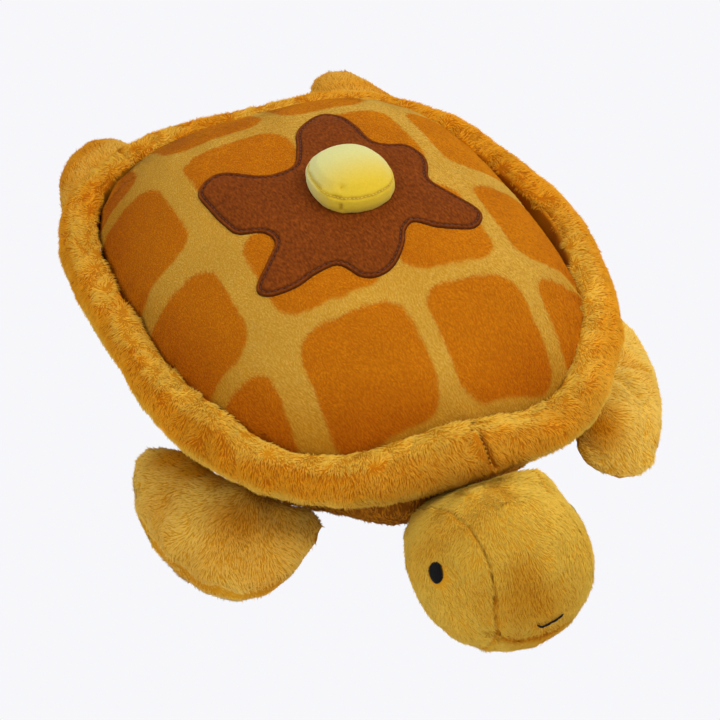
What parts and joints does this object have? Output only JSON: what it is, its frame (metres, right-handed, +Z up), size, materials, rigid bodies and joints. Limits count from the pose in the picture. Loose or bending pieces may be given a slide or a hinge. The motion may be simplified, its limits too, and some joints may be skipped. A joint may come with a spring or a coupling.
{
  "type": "plush turtle",
  "caption": "Stuffed turtle with a waffle-patterned domed shell, padded rim, syrup and butter patches, a ball head and floppy flippers.",
  "frame": {"origin": "on the floor, under the middle of the whole toy's length and width", "axes": "+Z up from the floor; -Y towards the head and +Y towards the rear flippers; +X to the turtle's left"},
  "size_m": [0.3806, 0.6324, 0.1841],
  "materials": {
    "belly_panel": "long-pile plush",
    "body_filling": "loose white polyester fibre",
    "butter_band": "short-pile plush",
    "butter_base": "short-pile plush",
    "butter_filling": "loose white polyester fibre",
    "butter_top": "short-pile plush",
    "eye_left": "satin-stitched embroidery thread",
    "eye_right": "satin-stitched embroidery thread",
    "front_left_bottom_panel": "long-pile plush",
    "front_left_filling": "loose white polyester fibre",
    "front_left_top_panel": "long-pile plush",
    "front_right_bottom_panel": "long-pile plush",
    "front_right_filling": "loose white polyester fibre",
    "front_right_top_panel": "long-pile plush",
    "head_centre_panel": "long-pile plush",
    "head_chin_panel": "long-pile plush",
    "head_filling": "loose white polyester fibre",
    "head_left_panel": "long-pile plush",
    "head_right_panel": "long-pile plush",
    "mouth": "satin-stitched embroidery thread",
    "rear_left_bottom_panel": "long-pile plush",
    "rear_left_filling": "loose white polyester fibre",
    "rear_left_top_panel": "long-pile plush",
    "rear_right_bottom_panel": "long-pile plush",
    "rear_right_filling": "loose white polyester fibre",
    "rear_right_top_panel": "long-pile plush",
    "rim_cover": "long-pile plush",
    "rim_filling": "loose white polyester fibre",
    "shell_cover": "short-pile plush",
    "syrup_patch": "short-pile plush"
  },
  "bodies": {
    "body": {"belly_panel": "belly_panel", "body_filling": "body_filling", "butter_band": "butter_band", "butter_base": "butter_base", "butter_filling": "butter_filling", "butter_top": "butter_top", "rim_cover": "rim_cover", "rim_filling": "rim_filling", "shell_cover": "shell_cover", "syrup_patch": "syrup_patch"},
    "head": {"head_right_panel": "head_right_panel", "head_left_panel": "head_left_panel", "head_centre_panel": "head_centre_panel", "head_chin_panel": "head_chin_panel", "head_filling": "head_filling", "eye_right": "eye_right", "eye_left": "eye_left", "mouth": "mouth"},
    "front_left_flipper": {"front_left_bottom_panel": "front_left_bottom_panel", "front_left_top_panel": "front_left_top_panel", "front_left_filling": "front_left_filling"},
    "front_right_flipper": {"front_right_bottom_panel": "front_right_bottom_panel", "front_right_top_panel": "front_right_top_panel", "front_right_filling": "front_right_filling"},
    "rear_left_flipper": {"rear_left_bottom_panel": "rear_left_bottom_panel", "rear_left_top_panel": "rear_left_top_panel", "rear_left_filling": "rear_left_filling"},
    "rear_right_flipper": {"rear_right_bottom_panel": "rear_right_bottom_panel", "rear_right_top_panel": "rear_right_top_panel", "rear_right_filling": "rear_right_filling"}
  },
  "joints": [
    {"name": "head_nod", "type": "hinge", "parent": "body", "child": "head", "pos_m": [-0.01278, -0.18942, 0.046], "axis": [-1, 0, 0], "range_deg": [-15, 0], "stiffness_Nm_per_rad": 1.5},
    {"name": "front_left_lift", "type": "hinge", "parent": "body", "child": "front_left_flipper", "pos_m": [0.11613, -0.12239, 0.0435], "axis": [-0.4924, -0.8704, 0], "range_deg": [-20, 5], "stiffness_Nm_per_rad": 0.6},
    {"name": "front_right_lift", "type": "hinge", "parent": "body", "child": "front_right_flipper", "pos_m": [-0.11834, -0.12276, 0.0435], "axis": [-0.4924, 0.8704, 0], "range_deg": [-20, 5], "stiffness_Nm_per_rad": 0.6},
    {"name": "rear_left_lift", "type": "hinge", "parent": "body", "child": "rear_left_flipper", "pos_m": [0.09336, 0.15707, 0.0435], "axis": [0.829, -0.5592, 0], "range_deg": [-20, 15], "stiffness_Nm_per_rad": 0.6},
    {"name": "rear_right_lift", "type": "hinge", "parent": "body", "child": "rear_right_flipper", "pos_m": [-0.09491, 0.15707, 0.0435], "axis": [0.829, 0.5592, 0], "range_deg": [-20, 15], "stiffness_Nm_per_rad": 0.6}
  ]
}
